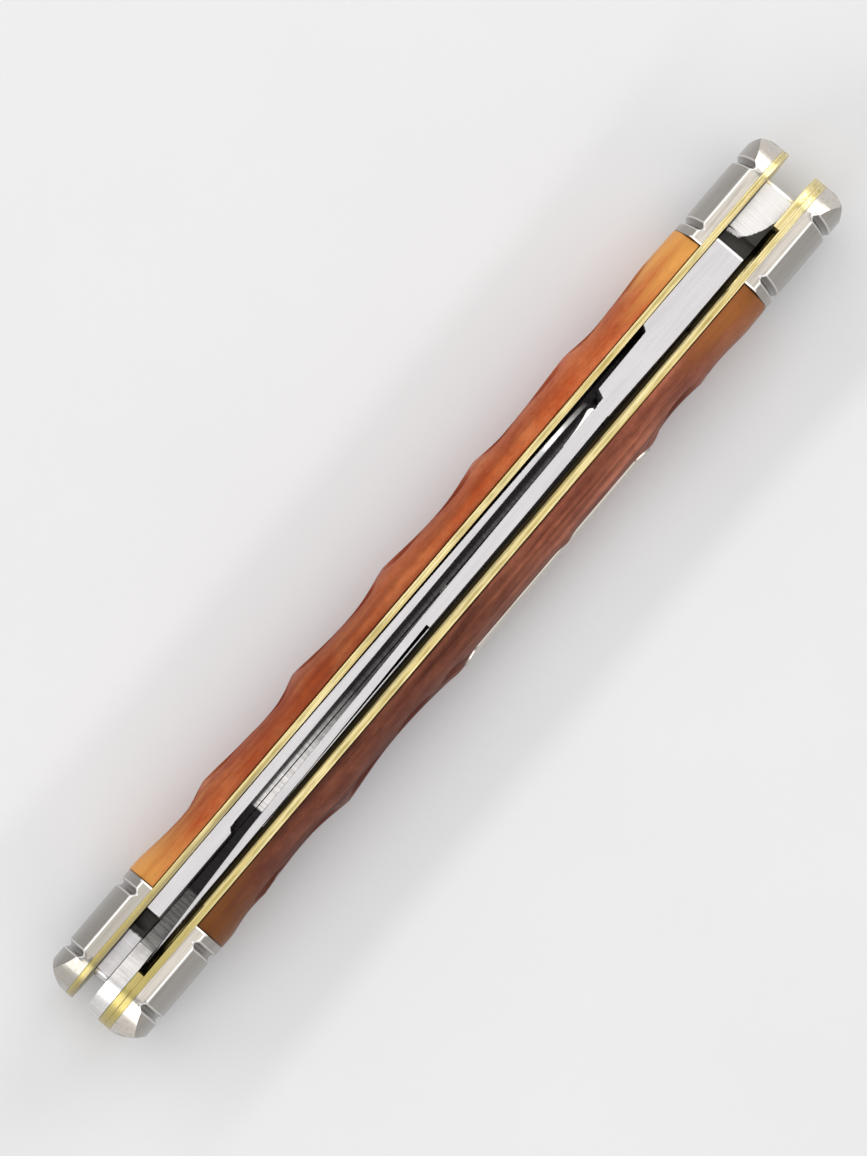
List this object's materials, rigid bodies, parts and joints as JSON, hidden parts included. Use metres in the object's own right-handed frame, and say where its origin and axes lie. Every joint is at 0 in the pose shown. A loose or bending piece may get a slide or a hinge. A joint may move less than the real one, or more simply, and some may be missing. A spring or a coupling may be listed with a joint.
{
  "type": "pocket knife",
  "caption": "Closed slip-joint pocket knife: blades folded in from opposite ends between brass liners, jigged bone covers, grooved round-ended bolsters and a plain bar shield.",
  "frame": {"origin": "middle of the bounding box's footprint, on the plane that the handle's back rests on", "axes": "+X along the handle, toward the end where the main blade is hinged; +Y across it, toward the pile side (away from the shield); +Z from the back up to the open front, where the blades come out"},
  "size_m": [0.1048, 0.0122, 0.0156],
  "materials": {
    "blade_steel": "satin, brushed across the blade",
    "spring_steel": "satin, ground flush with the handle",
    "liner_brass": "satin",
    "nickel_silver": "polished nickel silver, fine scratches",
    "jigged_bone": "polished dyed bone, amber going to red brown, honey yellow near the bolsters"
  },
  "bodies": {
    "handle": {"pile_backspring": "spring_steel", "mark_backspring": "spring_steel", "pile_liner": "liner_brass", "mark_liner": "liner_brass", "spacer_liner": "liner_brass", "pile_main_bolster": "nickel_silver", "mark_main_bolster": "nickel_silver", "pile_second_bolster": "nickel_silver", "mark_second_bolster": "nickel_silver", "pile_cover": "jigged_bone", "mark_cover": "jigged_bone", "shield": "nickel_silver", "shield_pins": "nickel_silver", "main_pivot_pin": "nickel_silver", "second_pivot_pin": "nickel_silver", "centre_spring_pin": "nickel_silver", "pile_cover_pins": "nickel_silver", "mark_cover_pins": "nickel_silver"},
    "main_blade": {"main_blade": "blade_steel"},
    "second_blade": {"second_blade": "blade_steel"}
  },
  "joints": [
    {"name": "main_hinge", "type": "hinge", "parent": "handle", "child": "main_blade", "pos_m": [0.0454, 0, 0.00662], "axis": [0, 1, 0], "range_deg": [0, 180], "deforming": ["pile_backspring", "mark_backspring"]},
    {"name": "second_hinge", "type": "hinge", "parent": "handle", "child": "second_blade", "pos_m": [-0.0454, 0, 0.00662], "axis": [0, -1, 0], "range_deg": [0, 180], "deforming": ["pile_backspring"]}
  ]
}
